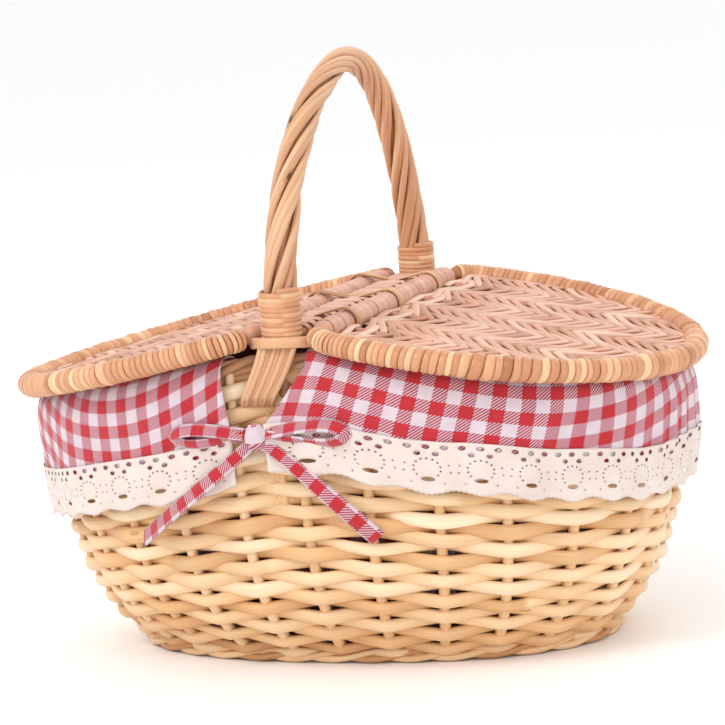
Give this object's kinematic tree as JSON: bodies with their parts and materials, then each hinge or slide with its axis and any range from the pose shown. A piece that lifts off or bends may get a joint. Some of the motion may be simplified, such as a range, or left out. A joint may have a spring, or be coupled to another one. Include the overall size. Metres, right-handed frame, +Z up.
{
  "type": "lidded wicker basket",
  "caption": "Oval woven willow picnic basket with a fixed twisted handle, lids hinged on a middle bridge, gingham lining, lace edging and ribbon bows.",
  "frame": {"origin": "on the ground, at the middle of the basket's base", "axes": "+X along the basket towards the right lid's end, +Y towards the back, -Y the front, +Z up"},
  "size_m": [0.4124, 0.285, 0.3449],
  "materials": {
    "willow": "satin peeled willow",
    "willow_pale": "satin peeled willow",
    "willow_lid": "satin split willow, pinkish",
    "gingham": "matt cotton, red and white check",
    "lace": "matt cotton lace"
  },
  "bodies": {
    "basket": {"base_sticks": "willow_pale", "base_weave": "willow", "base_border": "willow", "side_stakes": "willow_pale", "side_weave": "willow", "top_border": "willow_pale", "handle_core": "willow_pale", "handle_strands": "willow", "handle_binding_front": "willow", "handle_binding_back": "willow", "handle_fan_front": "willow_pale", "handle_fan_back": "willow_pale", "bridge_rod_left": "willow_pale", "bridge_rod_right": "willow_pale", "bridge_weave": "willow_lid", "hinge_loops_left": "willow_pale", "hinge_loops_right": "willow_pale", "lining_bag": "gingham", "lining_skirt_left": "gingham", "lining_skirt_right": "gingham", "lace_left": "lace", "lace_right": "lace", "bow_front": "gingham", "bow_back": "gingham"},
    "left_lid": {"left_rail": "willow_lid", "left_rim": "willow_pale", "left_rim_wrap": "willow", "left_ribs": "willow_pale", "left_weave": "willow_lid"},
    "right_lid": {"right_rail": "willow_lid", "right_rim": "willow_pale", "right_rim_wrap": "willow", "right_ribs": "willow_pale", "right_weave": "willow_lid"}
  },
  "joints": [
    {"name": "left_lid_hinge", "type": "hinge", "parent": "basket", "child": "left_lid", "pos_m": [-0.021, 0, 0.1954], "axis": [0, 1, 0], "range_deg": [0, 98]},
    {"name": "right_lid_hinge", "type": "hinge", "parent": "basket", "child": "right_lid", "pos_m": [0.021, 0, 0.1954], "axis": [0, -1, 0], "range_deg": [0, 98]}
  ]
}
